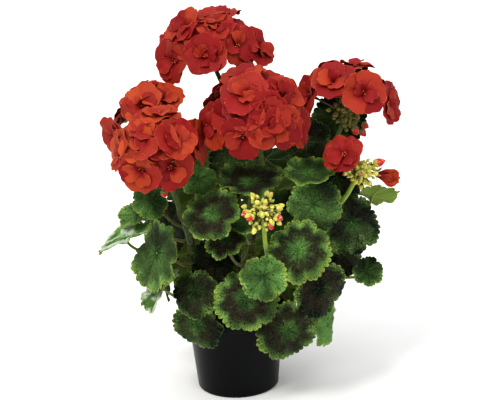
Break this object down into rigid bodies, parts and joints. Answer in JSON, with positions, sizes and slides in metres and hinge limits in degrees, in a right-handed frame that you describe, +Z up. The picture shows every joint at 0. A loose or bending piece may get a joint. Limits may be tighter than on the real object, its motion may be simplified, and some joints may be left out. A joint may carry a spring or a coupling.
{
  "type": "potted zonal geranium",
  "caption": "Bushy zonal geranium with round, scalloped, dark-zoned leaves and domed heads of scarlet flowers, growing in the soil of a plain black plastic nursery pot.",
  "frame": {"origin": "centre of the pot's underside, on the surface that it stands on", "axes": "+Z up along the pot's axis, -Y towards the viewer of the picture, +X to that viewer's right"},
  "size_m": [0.3229, 0.2476, 0.4055],
  "materials": {
    "pot": "satin",
    "soil": "matte",
    "stem": "matte",
    "leaf": "satin",
    "stalk": "satin",
    "petal": "matte"
  },
  "bodies": {
    "root": {"pot": "pot", "soil": "soil", "stem": "stem", "leaf_01": "leaf", "leaf_02": "leaf", "leaf_03": "leaf", "leaf_04": "leaf", "leaf_05": "leaf", "leaf_06": "leaf", "leaf_07": "leaf", "leaf_08": "leaf", "leaf_09": "leaf", "leaf_10": "leaf", "leaf_11": "leaf", "leaf_12": "leaf", "leaf_13": "leaf", "leaf_14": "leaf", "leaf_15": "leaf", "leaf_16": "leaf", "leaf_17": "leaf", "leaf_18": "leaf", "leaf_19": "leaf", "leaf_20": "leaf", "leaf_21": "leaf", "leaf_22": "leaf", "leaf_23": "leaf", "leaf_24": "leaf", "leaf_25": "leaf", "leaf_26": "leaf", "leaf_27": "leaf", "leaf_28": "leaf", "leaf_29": "leaf", "leaf_30": "leaf", "leaf_31": "leaf", "leaf_32": "leaf", "leaf_33": "leaf", "leaf_34": "leaf", "leaf_35": "leaf", "leaf_36": "leaf", "leaf_37": "leaf", "leaf_38": "leaf", "leaf_39": "leaf", "leaf_40": "leaf", "top_head_petals": "petal", "top_head_stalks": "stalk", "far_left_head_petals": "petal", "far_left_head_stalks": "stalk", "left_head_petals": "petal", "left_head_stalks": "stalk", "middle_head_petals": "petal", "middle_head_stalks": "stalk", "right_head_petals": "petal", "right_head_stalks": "stalk", "opening_head_petals": "petal", "opening_head_stalks": "stalk", "unfolding_flower": "petal", "bud_head": "stalk"}
  },
  "joints": []
}
